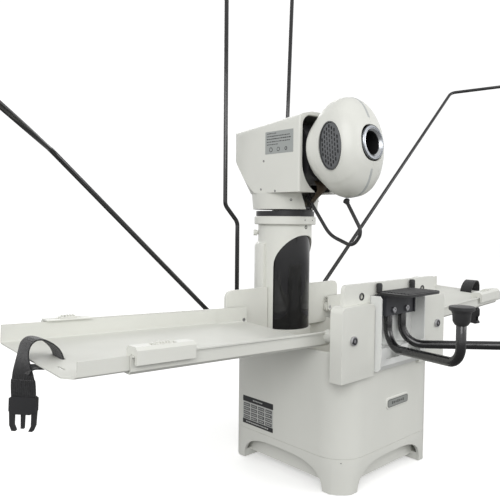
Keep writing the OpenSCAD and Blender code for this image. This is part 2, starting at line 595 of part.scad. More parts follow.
base_skirt();
rubber_feet();
hopper_shell();
hopper_floor();
feed_wheel();
feed_motor();
lift_tube();
column_front();
column_window();
column_back();
column_collar();
pan_ring();
pan_gear();
pan_pinion();
column_knob();
front_plates();
riser_plate();
hook_channel();
clamp_bracket();
clamp_screws();
table_pad();
hook_pegs();
arm_left();
arm_right();
arm_left_cap();
arm_right_cap();
back_plates();
wing_bolts();
left_tray();
right_tray();
left_tray_end();
right_tray_end();
left_locks();
right_locks();
left_front_slider();
right_front_slider();
left_back_slider();
right_back_slider();
left_strap();
right_strap();
left_buckle();
right_buckle();
housing_left();
housing_right();
turntable();
knuckle();
tilt_pins();
head_left();
head_right();
nozzle();
vents();
upper_wheel();
lower_wheel();
launch_motors();
cable();
rear_left_pole();
rear_right_pole();
side_left_pole();
side_right_pole();
pole_bracket();
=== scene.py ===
# Looks of the table-tennis ball robot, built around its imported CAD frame. Metres, +Z up.
import json
import math
import random

import bmesh
import bpy
from mathutils import Matrix, Vector


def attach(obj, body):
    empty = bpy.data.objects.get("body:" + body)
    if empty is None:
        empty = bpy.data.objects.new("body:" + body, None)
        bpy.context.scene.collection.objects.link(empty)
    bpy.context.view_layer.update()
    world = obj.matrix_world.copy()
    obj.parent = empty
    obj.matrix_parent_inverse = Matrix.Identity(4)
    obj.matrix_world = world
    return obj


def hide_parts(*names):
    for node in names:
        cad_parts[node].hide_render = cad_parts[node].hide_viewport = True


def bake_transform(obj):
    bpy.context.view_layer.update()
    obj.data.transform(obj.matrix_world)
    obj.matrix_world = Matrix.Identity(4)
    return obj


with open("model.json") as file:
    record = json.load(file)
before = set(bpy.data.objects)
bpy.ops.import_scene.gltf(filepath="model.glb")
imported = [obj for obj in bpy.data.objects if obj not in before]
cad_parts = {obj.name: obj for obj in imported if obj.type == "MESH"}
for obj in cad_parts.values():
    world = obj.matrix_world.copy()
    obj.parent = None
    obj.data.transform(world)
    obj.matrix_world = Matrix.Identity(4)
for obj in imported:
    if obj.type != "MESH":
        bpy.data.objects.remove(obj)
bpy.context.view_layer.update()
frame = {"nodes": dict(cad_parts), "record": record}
RECORD = frame["record"]
BODY = {n: b for b, nodes in RECORD["behaviour"]["bodies"].items() for n in nodes}
SLOT = {s["node"]: s["material_slot"] for s in RECORD["subparts"]}
random.seed(7)

IVORY = (0.735, 0.74, 0.69)


# ---------- camera ----------
CAMERA_SPOT = (-0.8669, -0.6993, 0.4475)
CAMERA_TURN, CAMERA_DOWN, CAMERA_ROLL = 42.948, 2.868, 0.558  # degrees
LENS_MM, SENSOR_MM = 41.71, 36


def make_camera():
    turn, pitch, roll = (math.radians(angle) for angle in (CAMERA_TURN, CAMERA_DOWN, CAMERA_ROLL))
    flat = Vector((math.sin(turn), math.cos(turn), 0))
    look = flat * math.cos(pitch) - Vector((0, 0, 1)) * math.sin(pitch)
    side = Vector((math.cos(turn), -math.sin(turn), 0))
    over = flat * math.sin(pitch) + Vector((0, 0, 1)) * math.cos(pitch)
    right = side * math.cos(roll) + over * math.sin(roll)
    up = over * math.cos(roll) - side * math.sin(roll)
    data = bpy.data.cameras.new("camera")
    data.lens = LENS_MM
    data.sensor_width = SENSOR_MM
    data.clip_start = 0.02
    cam = bpy.data.objects.new("camera", data)
    bpy.context.scene.collection.objects.link(cam)
    turned = Matrix((right, up, -look)).transposed().to_4x4()
    cam.matrix_world = Matrix.Translation(CAMERA_SPOT) @ turned
    bpy.context.scene.camera = cam


make_camera()


# ---------- small helpers ----------
def link(name, mesh):
    obj = bpy.data.objects.new(name, mesh)
    bpy.context.scene.collection.objects.link(obj)
    return obj


def from_bm(name, bm):
    mesh = bpy.data.meshes.new(name)
    bmesh.ops.recalc_face_normals(bm, faces=bm.faces)
    bm.to_mesh(mesh)
    bm.free()
    mesh.shade_smooth()
    return link(name, mesh)


def bend(before, corner, after, radius, steps=10):
    """Points of an arc that rounds a corner."""
    before, corner, after = Vector(before), Vector(corner), Vector(after)
    into = (corner - before).normalized()
    out = (after - corner).normalized()
    turn = into.angle(out)
    start = corner - into * radius * math.tan(turn / 2)
    inward = (out - into * into.dot(out)).normalized()
    centre = start + inward * radius
    return [centre - inward * radius * math.cos(turn * i / steps) + into * radius * math.sin(turn * i / steps)
            for i in range(steps + 1)]


def rounded(corners, radii, steps=10):
    """A path with its corners rounded."""
    path = [Vector(corners[0])]
    for i, radius in enumerate(radii):
        path += bend(corners[i], corners[i + 1], corners[i + 2], radius, steps)
    return path + [Vector(corners[-1])]


def sweep(name, path, radius, sides=20, cap=0.3):
    """A round tube along a path, with slightly rounded ends."""
    bm = bmesh.new()
    path = [Vector(p) for p in path]
    first = (path[1] - path[0]).normalized()
    last = (path[-1] - path[-2]).normalized()
    edge = radius * cap
    path = [path[0], path[0] + first * edge] + path[1:-1] + [path[-1] - last * edge, path[-1]]
    radii = [radius - edge] + [radius] * (len(path) - 2) + [radius - edge]
    normal = first.orthogonal().normalized()
    rings = []
    for i, p in enumerate(path):
        ahead = (path[min(i + 1, len(path) - 1)] - path[max(i - 1, 0)]).normalized()
        normal = (normal - ahead * normal.dot(ahead)).normalized()
        across = ahead.cross(normal)
        rings.append([bm.verts.new(p + (normal * math.cos(a) + across * math.sin(a)) * radii[i])
                      for a in (2 * math.pi * k / sides for k in range(sides))])
    for a, b in zip(rings, rings[1:]):
        for k in range(sides):
            bm.faces.new((a[k], a[(k + 1) % sides], b[(k + 1) % sides], b[k]))
    bm.faces.new(rings[0])
    bm.faces.new(list(reversed(rings[-1])))
    return from_bm(name, bm)


def bevelled(obj, width, segments=2, angle=30):
    mod = obj.modifiers.new("edges", "BEVEL")
    mod.width = width
    mod.segments = segments
    mod.limit_method = "ANGLE"
    mod.angle_limit = math.radians(angle)
    mod.harden_normals = True
    return obj


def smooth_by_angle(obj, angle=30):
    """Marks creases sharp so that flat faces stay flat."""
    bm = bmesh.new()
    bm.from_mesh(obj.data)
    for e in bm.edges:
        e.smooth = len(e.link_faces) == 2 and e.calc_face_angle(0) < math.radians(angle)
    bm.to_mesh(obj.data)
    bm.free()


def skin(node, material, width=0.0008, segments=2, angle=30):
    """A copy of a CAD node with its edges rounded, which stands for it."""
    bm = bmesh.new()
    bm.from_mesh(frame["nodes"][node].data)
    bmesh.ops.remove_doubles(bm, verts=bm.verts, dist=2e-5)
    bmesh.ops.dissolve_limit(bm, angle_limit=math.radians(0.6), verts=bm.verts, edges=bm.edges)
    obj = from_bm(node + "_skin", bm)
    smooth_by_angle(obj, angle)
    if width:
        bevelled(obj, width, segments, angle)
    else:
        mod = obj.modifiers.new("level", "WEIGHTED_NORMAL")
        mod.weight = 100
        mod.keep_sharp = True
    dress(obj, node, material)
    return obj


def dress(obj, node, material):
    obj.data.materials.clear()
    obj.data.materials.append(material)
    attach(obj, BODY[node])
    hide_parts(node)


def extra(obj, near, material):
    """A detail piece that rides with the CAD node near."""
    obj.data.materials.clear()
    obj.data.materials.append(material)
    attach(obj, BODY[near])
    return obj


# ---------- materials ----------
class Nodes:
    """Builds one material's node tree."""

    def __init__(self, name, rough, metal=0.0):
        self.mat = bpy.data.materials.new(name)
        self.mat.use_nodes = True
        self.tree = self.mat.node_tree
        self.shader = self.tree.nodes["Principled BSDF"]
        self.shader.inputs["Roughness"].default_value = rough
        self.shader.inputs["Metallic"].default_value = metal
        self.place = self.tree.nodes.new("ShaderNodeTexCoord").outputs["Object"]

    def new(self, kind, **values):
        node = self.tree.nodes.new(kind)
        for key, value in values.items():
            if key in node.inputs:
                node.inputs[key].default_value = value
            else:
                setattr(node, key, value)
        return node

    def join(self, a, b):
        self.tree.links.new(a, b)

    def noise(self, scale, detail=3.0, stretch=None):
        node = self.new("ShaderNodeTexNoise", Scale=scale, Detail=detail)
        source = self.place
        if stretch:
            mapping = self.new("ShaderNodeMapping")
            mapping.inputs["Scale"].default_value = stretch
            self.join(source, mapping.inputs["Vector"])
            source = mapping.outputs["Vector"]
        self.join(source, node.inputs["Vector"])
        return node.outputs["Fac"]

    def spread(self, fac, low, high, lo=0.3, hi=0.7):
        node = self.new("ShaderNodeMapRange")
        for key, value in (("From Min", lo), ("From Max", hi), ("To Min", low), ("To Max", high)):
            node.inputs[key].default_value = value
        self.join(fac, node.inputs["Value"])
        return node.outputs["Result"]

    def tint(self, fac, a, b, lo=0.35, hi=0.65):
        ramp = self.new("ShaderNodeValToRGB")
        ramp.color_ramp.elements[0].position = lo
        ramp.color_ramp.elements[1].position = hi
        ramp.color_ramp.elements[0].color = (*a, 1)
        ramp.color_ramp.elements[1].color = (*b, 1)
        self.join(fac, ramp.inputs["Fac"])
        return ramp.outputs["Color"]

    def bump(self, height, strength, distance, under=None):
        node = self.new("ShaderNodeBump", Strength=strength, Distance=distance)
        self.join(height, node.inputs["Height"])
        if under:
            self.join(under, node.inputs["Normal"])
        return node.outputs["Normal"]

    def colour(self, out):
        self.join(out, self.shader.inputs["Base Color"])

    def rough(self, out):
        self.join(out, self.shader.inputs["Roughness"])

    def normal(self, out):
        self.join(out, self.shader.inputs["Normal"])


def scaled(colour, k):
    return tuple(c * k for c in colour)


def moulded(name, colour, rough=0.38, grain=900.0, strength=0.10, coat=0.0, change=0.04):
    """Moulded plastic: slow tone change, fine spark grain, faint flow waviness and handling smudges."""
    n = Nodes(name, rough)
    n.colour(n.tint(n.noise(9.0), scaled(colour, 1 - change), colour))
    n.rough(n.spread(n.noise(26.0, 5.0), rough - 0.06, rough + 0.07))
    wavy = n.bump(n.noise(30.0, 2.0), 0.05, 0.002)
    n.normal(n.bump(n.noise(grain, 2.0), strength, 0.0004, wavy))
    n.shader.inputs["Coat Weight"].default_value = coat
    n.shader.inputs["Coat Roughness"].default_value = 0.12
    return n.mat


def metal(name, colour, rough, brushed=(1, 1, 1), strength=0.08):
    n = Nodes(name, rough, 1.0)
    n.colour(n.tint(n.noise(40.0, 4.0), scaled(colour, 0.88), colour))
    n.rough(n.spread(n.noise(220.0, 3.0, brushed), rough - 0.08, rough + 0.10))
    n.normal(n.bump(n.noise(500.0, 2.0, brushed), strength, 0.0003))
    return n.mat


def enamel(name, colour, rough, coat=0.6):
    """Painted tube: orange-peel paint with a clear gloss over it."""
    n = Nodes(name, rough)
    n.colour(n.tint(n.noise(60.0), scaled(colour, 0.8), colour))
    n.rough(n.spread(n.noise(90.0, 4.0), rough - 0.08, rough + 0.10))
    n.normal(n.bump(n.noise(420.0, 2.0), 0.12, 0.0004))
    n.shader.inputs["Coat Weight"].default_value = coat
    n.shader.inputs["Coat Roughness"].default_value = 0.08
    return n.mat


def rubbery(name, colour, rough=0.62):
    n = Nodes(name, rough)
    n.colour(n.tint(n.noise(70.0, 4.0), scaled(colour, 0.75), scaled(colour, 1.2)))
    n.rough(n.spread(n.noise(45.0, 4.0), rough - 0.10, rough + 0.12))
    n.normal(n.bump(n.noise(1400.0, 2.0), 0.25, 0.0004))
    n.shader.inputs["Sheen Weight"].default_value = 0.12
    return n.mat


def smoked(name):
    n = Nodes(name, 0.10)
    n.colour(n.tint(n.noise(12.0), (0.004, 0.004, 0.005), (0.009, 0.009, 0.010)))
    n.rough(n.spread(n.noise(30.0, 5.0), 0.06, 0.16))
    n.shader.inputs["Coat Weight"].default_value = 0.15
    n.shader.inputs["Coat Roughness"].default_value = 0.05
    n.shader.inputs["Alpha"].default_value = 0.97
    return n.mat


def woven(name, colour):
    """Nylon webbing: ribs across the band and a crossing weave."""
    n = Nodes(name, 0.72)
    n.colour(n.tint(n.noise(300.0, 4.0), scaled(colour, 0.6), scaled(colour, 1.5)))
    ribs = n.new("ShaderNodeTexWave", Scale=190.0, Distortion=0.4, bands_direction="Z")
    n.join(n.place, ribs.inputs["Vector"])
    rows = n.new("ShaderNodeTexWave", Scale=170.0, Distortion=0.4, bands_direction="Y")
    n.join(n.place, rows.inputs["Vector"])
    first = n.bump(ribs.outputs["Fac"], 0.7, 0.0005)
    n.normal(n.bump(rows.outputs["Fac"], 0.6, 0.0005, first))
    n.shader.inputs["Sheen Weight"].default_value = 0.35
    n.shader.inputs["Sheen Roughness"].default_value = 0.4
    return n.mat


ivory = moulded("ivory_abs", IVORY, 0.36, coat=0.10)
ivory_tray = moulded("ivory_tray", scaled(IVORY, 0.95), 0.55, grain=600.0, strength=0.03)
white_steel = moulded("white_powder_coat", (0.80, 0.81, 0.79), 0.34, grain=500.0, strength=0.06, coat=0.2,
                      change=0.03)
black_plastic = moulded("black_plastic", (0.018, 0.018, 0.020), 0.45, strength=0.25, change=0.3)
grey_plastic = moulded("dark_grey_plastic", (0.045, 0.047, 0.055), 0.50, strength=0.35, change=0.25)
rubber = rubbery("black_rubber", (0.020, 0.020, 0.021))
tube_black = enamel("black_enamel", (0.010, 0.010, 0.011), 0.26)
smoke = smoked("smoked_acrylic")
zinc = metal("zinc_plate", (0.55, 0.55, 0.57), 0.34)
bezel_metal = metal("bezel_metal", (0.42, 0.44, 0.47), 0.32, brushed=(1, 12, 1))
vent_metal = metal("vent_metal", (0.16, 0.165, 0.17), 0.36, brushed=(1, 1, 14), strength=0.2)
webbing = woven("black_webbing", (0.012, 0.012, 0.013))
gear_nylon = moulded("gear_nylon", (0.62, 0.56, 0.42), 0.45)
orange = moulded("feed_orange", (0.62, 0.17, 0.03), 0.42)
red_rubber = rubbery("drive_rubber", (0.36, 0.035, 0.03))
grey_tube = moulded("lift_tube_plastic", (0.42, 0.43, 0.45), 0.35)
# Near-black: painted shade in the vent slots, the nozzle bore and screw recesses, and ink for the nozzle ticks
painted_shade_and_print = moulded("painted_shadow_and_print_black", (0.006, 0.006, 0.007), 0.6, change=0.3)
bright_ring = metal("polished_ring", (0.78, 0.80, 0.83), 0.22, brushed=(1, 9, 1), strength=0.04)
cable_black = rubbery("cable_sheath", (0.018, 0.018, 0.019), 0.45)
thread = woven("strap_thread", (0.05, 0.05, 0.052))
label_grey = moulded("label_foil", (0.36, 0.38, 0.37), 0.42, grain=300.0, strength=0.04, coat=0.2)
label_ink = moulded("label_ink", (0.030, 0.031, 0.033), 0.45, strength=0.03, change=0.2)
label_pale = moulded("label_paper", (0.52, 0.53, 0.51), 0.50, strength=0.04)
label_mid = moulded("label_tint", (0.13, 0.135, 0.135), 0.48, strength=0.04, change=0.2)
badge_grey = moulded("badge_foil", (0.29, 0.30, 0.285), 0.45, strength=0.05)
seam_grey = moulded("seam_grey", (0.47, 0.49, 0.48), 0.40)
badge_dark = moulded("badge_edge", (0.10, 0.105, 0.10), 0.4, change=0.2)
screw_dark = metal("screw_head", (0.10, 0.10, 0.105), 0.45)
brown_flap = moulded("brown_insulation", (0.075, 0.048, 0.022), 0.55, grain=260.0, strength=0.3, change=0.4)
PLAIN = {"ivory_plastic": ivory, "white_metal": white_steel, "dark_plastic": black_plastic, "black_rubber": rubber,
         "black_tube": tube_black, "smoked_panel": smoke, "zinc_steel": zinc, "webbing": webbing,
         "motor_can": zinc, "gear_nylon": gear_nylon, "feed_orange": orange, "drive_rubber": red_rubber,
         "silver_bezel": bezel_metal, "clear_tube": grey_tube, "cable_pvc": rubber}


# ---------- light and floor ----------
def area_light(name, spot, aim, size, power, colour=(1, 1, 1)):
    data = bpy.data.lights.new(name, "AREA")
    data.shape = "RECTANGLE"
    data.size, data.size_y = size
    data.energy = power
    data.color = colour
    obj = bpy.data.objects.new(name, data)
    bpy.context.scene.collection.objects.link(obj)
    direction = (Vector(aim) - Vector(spot)).normalized()
    obj.matrix_world = Matrix.Translation(spot) @ direction.to_track_quat("-Z", "Y").to_matrix().to_4x4()


def studio():
    """White horizon, softer light from above and a dim lower half, with a broad key from the upper left."""
    world = bpy.data.worlds.new("studio")
    bpy.context.scene.world = world
    world.use_nodes = True
    nodes, links = world.node_tree.nodes, world.node_tree.links
    split = nodes.new("ShaderNodeSeparateXYZ")
    links.new(nodes.new("ShaderNodeTexCoord").outputs["Generated"], split.inputs["Vector"])
    height = nodes.new("ShaderNodeMapRange")
    height.inputs["From Min"].default_value = -1
    links.new(split.outputs["Z"], height.inputs["Value"])
    ramp = nodes.new("ShaderNodeValToRGB")
    stops = [(0.0, 0.16), (0.40, 0.24), (0.465, 0.5), (0.482, 1.0), (0.69, 1.0), (0.80, 0.50), (1.0, 0.62)]
    while len(ramp.color_ramp.elements) < len(stops):
        ramp.color_ramp.elements.new(0.5)
    for element, (place, level) in zip(ramp.color_ramp.elements, stops):
        element.position = place
        element.color = (level, level, level, 1)
    links.new(height.outputs["Result"], ramp.inputs["Fac"])
    links.new(ramp.outputs["Color"], nodes["Background"].inputs["Color"])
    nodes["Background"].inputs["Strength"].default_value = 1.08
    area_light("key", (-1.7, -1.3, 1.5), (0, 0, 0.40), (1.3, 1.3), 20)
    area_light("front_fill", (0.9, -2.0, 1.3), (0, 0, 0.30), (1.4, 1.0), 11)
    area_light("rear_rim", (1.0, 1.8, 1.6), (0, 0, 0.4), (1.2, 1.2), 8)
    bm = bmesh.new()
    bmesh.ops.create_grid(bm, x_segments=2, y_segments=2, size=14)
    floor = from_bm("floor", bm)
    n = Nodes("pale_floor", 0.9)
    tone = n.tint(n.noise(3.0), (0.90, 0.90, 0.895), (0.92, 0.92, 0.915))
    n.colour(tone)
    n.join(tone, n.shader.inputs["Emission Color"])
    n.shader.inputs["Emission Strength"].default_value = 0.42
    n.shader.inputs["Specular IOR Level"].default_value = 0.0
    floor.data.materials.append(n.mat)
    floor.visible_diffuse = False
    floor.visible_glossy = False
    bpy.context.scene.view_settings.view_transform = "Standard"


# ---------- shape helpers, in millimetres ----------
def mm(x, y, z):
    return Vector((x, y, z)) / 1000


def baked(obj):
    """The object with its modifiers made final."""
    graph = bpy.context.evaluated_depsgraph_get()
    mesh = bpy.data.meshes.new_from_object(obj.evaluated_get(graph))
    obj.modifiers.clear()
    obj.data = mesh
    return obj


def cut(obj, cutter):
    """Takes the cutter's solid out of the object."""
    mod = obj.modifiers.new("cut", "BOOLEAN")
    mod.operation = "DIFFERENCE"
    mod.solver = "EXACT"
    mod.object = cutter
    baked(obj)
    bpy.data.objects.remove(cutter)
    return obj


def prism(name, outlines, place, low, high):
    """Closed solids between two levels; place(a, b, level) gives a world point in millimetres."""
    bm = bmesh.new()
    for outline in outlines:
        ends = [[bm.verts.new(mm(*place(a, b, level))) for a, b in outline] for level in (low, high)]
        count = len(outline)
        bm.faces.new(ends[0])
        bm.faces.new(list(reversed(ends[1])))
        for i in range(count):
            j = (i + 1) % count
            bm.faces.new((ends[0][i], ends[1][i], ends[1][j], ends[0][j]))
    obj = from_bm(name, bm)
    smooth_by_angle(obj, 35)
    return obj


def oblong(cx, cy, w, h, r, steps=5):
    """Outline of a rounded rectangle."""
    return [(cx + sx * (w / 2 - r) + r * math.cos(a), cy + sy * (h / 2 - r) + r * math.sin(a))
            for sx, sy, start in ((1, 1, 0), (-1, 1, 90), (-1, -1, 180), (1, -1, 270))
            for a in (math.radians(start + 90 * i / steps) for i in range(steps + 1))]


def disc(cx, cy, r, steps=24):
    return [(cx + r * math.cos(2 * math.pi * i / steps), cy + r * math.sin(2 * math.pi * i / steps))
            for i in range(steps)]


def lathe(name, profile, origin, axis, steps=64):
    """Turned solid: profile is a closed loop of (radius, distance along the axis)."""
    axis = Vector(axis).normalized()
    side = axis.orthogonal().normalized()
    other = axis.cross(side)
    bm = bmesh.new()
    rings = []
    for k in range(steps):
        a = 2 * math.pi * k / steps
        out = side * math.cos(a) + other * math.sin(a)
        rings.append([bm.verts.new(Vector(origin) / 1000 + (out * r + axis * t) / 1000) for r, t in profile])
    for k in range(steps):
        a, b = rings[k], rings[(k + 1) % steps]
        for i in range(len(profile)):
            j = (i + 1) % len(profile)
            bm.faces.new((a[i], a[j], b[j], b[i]))
    bmesh.ops.remove_doubles(bm, verts=bm.verts, dist=1e-7)
    bmesh.ops.dissolve_degenerate(bm, edges=bm.edges, dist=1e-7)
    obj = from_bm(name, bm)
    smooth_by_angle(obj, 32)
    return obj


def stud(name, origin, axis, radius, material, near, proud=0.35):
    """A small screw head, partly sunk below the surface; in the near-black shade material it is painted shade
    standing for a dark screw recess.
    """
    profile = [(0, -1.2), (radius, -1.2), (radius, proud * 0.6), (radius * 0.86, proud), (radius * 0.55, proud),
               (radius * 0.45, -0.3), (0, -0.3)]
    obj = lathe(name, profile, origin, axis, 20)
    return extra(obj, near, material)


# ---------- head ----------
TILT_AXIS = (0, 82, 573)
TILT = math.radians(5.5)
AIM = (0, -math.cos(TILT), math.sin(TILT))


def head_point(x, ahead, up):
    """Point given across, along and above the firing axis."""
    return (x, TILT_AXIS[1] - ahead * math.cos(TILT) + up * math.sin(TILT),
            TILT_AXIS[2] + ahead * math.sin(TILT) + up * math.cos(TILT))


# Outline of the head: distance along the firing axis, then half its height or width there
HEAD_START, HEAD_LENGTH = 64, 104
HALF_HEIGHT = [(64, 60.5), (67, 63), (72, 68), (80, 76), (92, 86), (110, 91.5), (125, 91), (135, 88), (145, 81),
               (155, 68), (163, 49), (168, 33)]
HALF_WIDTH = [(64, 60.5), (67, 63), (90, 63), (110, 62.5), (130, 62), (145, 58), (155, 51), (163, 42), (168, 32)]
# Middle of the side vents, along and above the firing axis
VENT_AHEAD, VENT_UP = 120, -2


def profile_at(points, at):
    """Smooth curve through given points."""
    xs = [p[0] for p in points]
    i = max(0, min(len(points) - 2, sum(x <= at for x in xs) - 1))
    (x0, y0), (x1, y1) = points[i], points[i + 1]
    slope = (y1 - y0) / (x1 - x0)
    before = (y0 - points[i - 1][1]) / (x0 - xs[i - 1]) if i else slope
    after = (points[i + 2][1] - y1) / (xs[i + 2] - x1) if i + 2 < len(points) else slope
    m0 = 0 if before * slope < 0 else (before + slope) / 2
    m1 = 0 if after * slope < 0 else (after + slope) / 2
    t = (at - x0) / (x1 - x0)
    h = x1 - x0
    return (y0 * (2 * t**3 - 3 * t**2 + 1) + m0 * h * (t**3 - 2 * t**2 + t)
            + y1 * (3 * t**2 - 2 * t**3) + m1 * h * (t**3 - t**2))


def bowed(value, power):
    return math.copysign(abs(value) ** power, value)


def ease(t):
    t = max(0.0, min(1.0, t))
    return t * t * (3 - 2 * t)


def head_half(side, node):
    """One moulded half: necked body, low round panel on its flank, vent opening and cable hole."""
    bm = bmesh.new()
    grid = []
    rows, cols = 108, 96
    for i in range(rows + 1):
        ahead = HEAD_START + HEAD_LENGTH * i / rows
        tall, wide = profile_at(HALF_HEIGHT, ahead), profile_at(HALF_WIDTH, ahead)
        step = -0.9 * ease((84.5 - ahead) / 1.2)
        power = 2 + max(0, min(0.3, (ahead - 70) / 100))
        line = []
        for k in range(cols + 1):
            turn = math.pi * (k / cols - 0.5)
            x = wide * bowed(math.cos(turn), 2 / power)
            up = tall * bowed(math.sin(turn), 2 / power)
            far = math.hypot((ahead - VENT_AHEAD) / 58, (up - VENT_UP) / 68)
            x += 0.8 * ease((1.0 - far) / 0.035) * (math.cos(turn) > 0.2)
            size = math.hypot(x, up)
            x, up = x * (1 + step / size), up * (1 + step / size)
            line.append(bm.verts.new(mm(*head_point(side * max(0.25, x), ahead, up))))
        grid.append(line)
    for a, b in zip(grid, grid[1:]):
        for k in range(cols):
            bm.faces.new((a[k], a[k + 1], b[k + 1], b[k]))
    obj = from_bm(node + "_moulded", bm)
    mod = obj.modifiers.new("wall", "SOLIDIFY")
    mod.thickness = 0.0028
    inner = Vector(mm(*head_point(0, 110, 0)))
    first = obj.data.polygons[len(obj.data.polygons) // 2]
    mod.offset = -1 if first.normal.dot(first.center - inner) > 0 else 1
    baked(obj)
    oval = [(VENT_AHEAD + 24.4 * math.cos(math.pi * i / 24), VENT_UP + 43.6 * math.sin(math.pi * i / 24))
            for i in range(48)]
    cut(obj, prism("oval", [oval], lambda a, b, t: head_point(side * t, a, b), 40, 80))
    start = head_point(0, 104, -108)
    hole = lathe("hole", [(0, 0), (7.2, 0), (7.2, 34), (0, 34)], start, (0, 0.02, 1), 24)
    cut(obj, hole)
    smooth_by_angle(obj, 32)
    dress(obj, node, ivory)


def vents_piece():
    """Domed oval grilles with rows of short slots, drawn as near-black capsules that are painted shade for the
    openings.
    """
    bm = bmesh.new()
    for side in (-1, 1):
        centre_rings = []
        for scale, level in ((1.0, 56.6), (1.0, 61.2), (0.955, 61.5), (0.93, 59.8), (0.7, 60.4), (0.35, 60.8)):
            ring = []
            for k in range(56):
                a = 2 * math.pi * k / 56
                ring.append(bm.verts.new(mm(*head_point(side * level, VENT_AHEAD + 24.1 * scale * math.cos(a),
                                                        VENT_UP + 43.3 * scale * math.sin(a)))))
            centre_rings.append(ring)
        for a, b in zip(centre_rings, centre_rings[1:]):
            for k in range(56):
                bm.faces.new((a[k], a[(k + 1) % 56], b[(k + 1) % 56], b[k]))
        bm.faces.new(centre_rings[-1])
        bm.faces.new(list(reversed(centre_rings[0])))
    obj = from_bm("vent_grilles", bm)
    smooth_by_angle(obj, 40)
    dress(obj, "vents", vent_metal)
    slots = []
    for col in range(-3, 4):
        for row in range(-4, 5):
            a, b = VENT_AHEAD + col * 5.6, VENT_UP + row * 8.6 + (4.3 if col % 2 else 0)
            if math.hypot((a - VENT_AHEAD) / 20.5, (b - VENT_UP) / 39) < 0.93:
                slots.append(oblong(a, b, 1.9, 6.2, 0.9, 3))
    for side, name in ((-1, "left"), (1, "right")):
        # The slots are not cut: these near-black capsules are painted shade standing in for the openings
        holes = prism("vent_slots_" + name, slots, lambda a, b, t: head_point(side * t, a, b), 57.5, 61.0)
        extra(holes, "vents", painted_shade_and_print)


def nozzle_piece():
    ring = [(21.7, 137), (24.2, 137), (24.2, 163.4), (30.5, 163.4), (30.5, 170.2), (29.8, 171.2), (27.0, 171.4),
            (26.4, 170.6), (25.6, 170.6), (21.7, 166.5)]
    origin = head_point(0, 0, 0)
    dress(lathe("nozzle_bezel", ring, origin, AIM, 96), "nozzle", bezel_metal)
    cone = [(21.6, 165.6), (25.7, 169.9), (25.7, 170.9), (25.0, 171.1), (21.4, 167.4)]
    extra(lathe("nozzle_inner_ring", cone, origin, AIM, 96), "nozzle", bright_ring)
    # Near-black sleeve inside the bore: painted shade for the deep barrel
    extra(lathe("nozzle_bore_shade", [(21.0, 120), (21.6, 120), (21.6, 165.5), (21.0, 165.5)], origin, AIM, 64),
          "nozzle", painted_shade_and_print)
    marks = []
    for k in range(26):
        a = math.radians(-78 + 6.2 * k)
        c, s = math.cos(a), math.sin(a)
        marks.append([(28.0 * c - 0.22 * s, 28.0 * s + 0.22 * c), (29.6 * c - 0.22 * s, 29.6 * s + 0.22 * c),
                      (29.6 * c + 0.22 * s, 29.6 * s - 0.22 * c), (28.0 * c + 0.22 * s, 28.0 * s - 0.22 * c)])
    extra(prism("nozzle_ticks", marks, lambda a, b, t: head_point(a, t, b), 170.2, 171.45), "nozzle", painted_shade_and_print)


def head_strip():
    """Raised joint strip over and under the head, between two shallow lines."""
    bm = bmesh.new()
    for sign in (-1, 1):
        rings = []
        for i in range(41):
            ahead = 96 + 68 * i / 40
            tall = profile_at(HALF_HEIGHT, ahead)
            ends = ease(i / 3) * ease((40 - i) / 3)
            top = tall + 0.15 + 0.40 * ends
            half = 3.1
            rings.append([bm.verts.new(mm(*head_point(x, ahead, sign * level)))
                          for x, level in ((-half, tall - 2), (-half, top - 0.25), (-half + 0.4, top),
                                           (half - 0.4, top), (half, top - 0.25), (half, tall - 2))])
        for a, b in zip(rings, rings[1:]):
            for k in range(6):
                bm.faces.new((a[k], a[(k + 1) % 6], b[(k + 1) % 6], b[k]))
        bm.faces.new(rings[0])
        bm.faces.new(list(reversed(rings[-1])))
    extra(from_bm("head_joint_strip", bm), "head_left", seam_grey)


def build_head():
    head_half(-1, "head_left")
    head_half(1, "head_right")
    vents_piece()
    nozzle_piece()
    head_strip()
    for side in (-1, 1):
        for k, (ahead, up) in enumerate(((68.5, -7), (91, -6))):
            x = 62.1 if ahead < 80 else 62.9
            spot = head_point(side * x, ahead, up)
            # These neck screws take the near-black painted-shade material, standing for their shaded recesses
            stud(f"neck_screw_{side + 1}_{k}", spot, (side, 0, 0), 1.9, painted_shade_and_print, "head_left")


# ---------- round bars, cable and straps ----------
POLE_RADIUS, ARM_RADIUS, CABLE_RADIUS = 0.0045, 0.0072, 0.0034
ARM_REACH, ARM_HEIGHT = 183, 233


